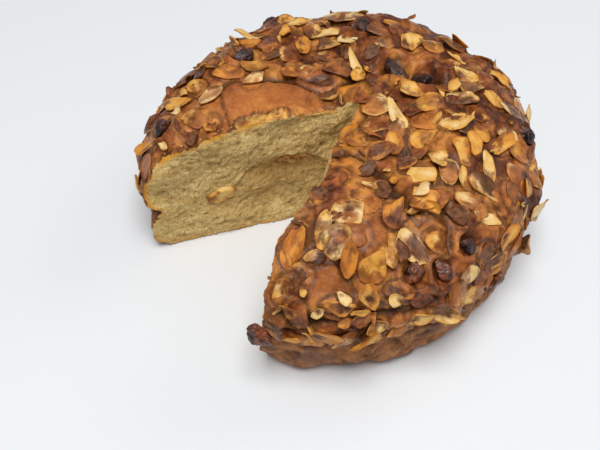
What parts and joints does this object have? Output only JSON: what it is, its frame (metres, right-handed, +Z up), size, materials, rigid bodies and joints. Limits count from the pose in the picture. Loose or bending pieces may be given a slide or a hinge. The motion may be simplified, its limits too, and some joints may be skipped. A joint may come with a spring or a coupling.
{
  "type": "apple bread",
  "caption": "Round apple bread with raisins and flaked almonds on a browned lumpy crust, with one wedge cut out so that its pale crumb shows.",
  "frame": {"origin": "on the surface the loaf rests on, under the middle of the box round the bread", "axes": "+Z up out of the crust's top; the cut-out wedge opens towards -Y; +X to the right as seen from the open side"},
  "size_m": [0.1998, 0.2006, 0.0786],
  "materials": {
    "crust_crumb_and_almonds": "egg-washed, browned bread crust with pale open crumb on the cut faces and baked flaked almonds",
    "raisin_skin": "dark wrinkled raisin skin, slightly glossy",
    "baked_apple": "moist, part-translucent baked apple, yellow brown"
  },
  "bodies": {
    "root": {"bread": "crust_crumb_and_almonds", "raisin_1": "raisin_skin", "raisin_2": "raisin_skin", "raisin_3": "raisin_skin", "raisin_4": "raisin_skin", "raisin_5": "raisin_skin", "raisin_6": "raisin_skin", "raisin_7": "raisin_skin", "raisin_8": "raisin_skin", "raisin_9": "raisin_skin", "raisin_10": "raisin_skin", "raisin_11": "raisin_skin", "raisin_12": "raisin_skin", "raisin_13": "raisin_skin", "raisin_14": "raisin_skin", "apple_piece_1": "baked_apple", "apple_piece_2": "baked_apple", "apple_piece_3": "baked_apple", "apple_piece_4": "baked_apple", "apple_piece_5": "baked_apple"}
  },
  "joints": []
}
